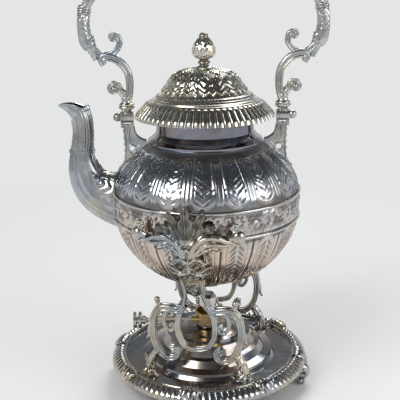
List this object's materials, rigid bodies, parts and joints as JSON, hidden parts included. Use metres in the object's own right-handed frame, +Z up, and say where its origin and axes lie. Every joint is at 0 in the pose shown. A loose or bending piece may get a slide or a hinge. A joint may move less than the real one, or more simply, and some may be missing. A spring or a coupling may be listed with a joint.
{
  "type": "spirit kettle on stand",
  "caption": "Chased silver-plated kettle with hinged lid, bail handle and swan-neck spout, lifting out of a footed stand with a spirit lamp, wick winder and snuffer.",
  "frame": {"origin": "centre of the bounding box's base, on the table under the feet; the kettle's axis stands 11.8 mm towards +X from it", "axes": "+Z up, spout towards -X, heel towards +X, front bracket towards -Y"},
  "size_m": [0.2618, 0.2166, 0.414],
  "materials": {
    "plate_silver": "tarnished silver plate, chased and burnished",
    "lid_silver": "yellowed silver plate, chased",
    "cast_silver": "pale grey cast silver plate, satin",
    "stand_silver": "darkened cast silver plate",
    "lamp_brass": "lacquered brass, tarnished",
    "steel_rod": "plain",
    "grip_black": "matte grey grip, a hard insulating material",
    "cotton_wick": "plaited cotton"
  },
  "bodies": {
    "stand": {"base_plate": "plate_silver", "base_rim": "plate_silver", "base_foot_1": "stand_silver", "base_foot_2": "stand_silver", "base_foot_3": "stand_silver", "base_foot_4": "stand_silver", "bracket_front": "stand_silver", "bracket_rear": "stand_silver", "bracket_nuts": "steel_rod", "lamp_font": "plate_silver", "burner_collar": "lamp_brass", "wick_tube": "lamp_brass", "spindle_gland": "plate_silver", "snuffer_pin": "steel_rod"},
    "kettle": {"kettle_body": "plate_silver", "kettle_foot_ring": "plate_silver", "band_wire_upper": "plate_silver", "band_wire_lower": "plate_silver", "neck_collar": "plate_silver", "spout": "plate_silver", "spout_lip": "plate_silver", "spout_collar": "plate_silver", "spout_flange": "plate_silver", "handle_lug_heel": "cast_silver", "handle_lug_spout": "cast_silver", "handle_pin_heel": "cast_silver", "handle_pin_spout": "cast_silver", "lid_hinge_leaf": "plate_silver", "lid_hinge_pin": "steel_rod"},
    "lid": {"lid_dome": "lid_silver", "lid_rim": "lid_silver", "lid_bezel": "lid_silver", "lid_knuckle": "lid_silver", "finial": "lid_silver", "finial_washer": "lid_silver", "finial_nut": "lid_silver"},
    "handle": {"handle_arm_heel": "cast_silver", "handle_arm_spout": "cast_silver", "handle_grip": "grip_black", "grip_rod": "steel_rod", "grip_ferrule_heel": "cast_silver", "grip_ferrule_spout": "cast_silver"},
    "wick_winder": {"wick_spindle": "steel_rod", "wick_wheels": "lamp_brass", "wick_knob": "plate_silver"},
    "wick": {"wick": "cotton_wick"},
    "snuffer": {"snuffer_cap": "plate_silver"}
  },
  "joints": [
    {"name": "kettle_lift", "type": "slide", "parent": "stand", "child": "kettle", "axis": [0, 0, 1], "range_m": [0, 0.12]},
    {"name": "lid_hinge", "type": "hinge", "parent": "kettle", "child": "lid", "pos_m": [0.01181, 0.056, 0.2815], "axis": [-1, 0, 0], "range_deg": [0, 75]},
    {"name": "handle_swing", "type": "hinge", "parent": "kettle", "child": "handle", "pos_m": [0.01181, 0, 0.279], "axis": [1, 0, 0], "range_deg": [0, 80]},
    {"name": "wick_knob_spin", "type": "hinge", "parent": "stand", "child": "wick_winder", "pos_m": [0.01181, -0.0081, 0.0685], "axis": [1, 0, 0], "range_deg": [0, 68.75]},
    {"name": "wick_lift", "type": "slide", "parent": "stand", "child": "wick", "axis": [0, 0, 1], "range_m": [0, 0.0037]},
    {"name": "snuffer_hinge", "type": "hinge", "parent": "stand", "child": "snuffer", "pos_m": [0.02481, 0, 0.078], "axis": [0, 1, 0], "range_deg": [0, 110]}
  ],
  "couplings": [
    {"joint": "wick_lift", "follows": "wick_knob_spin", "m_per_rad": 0.003}
  ]
}
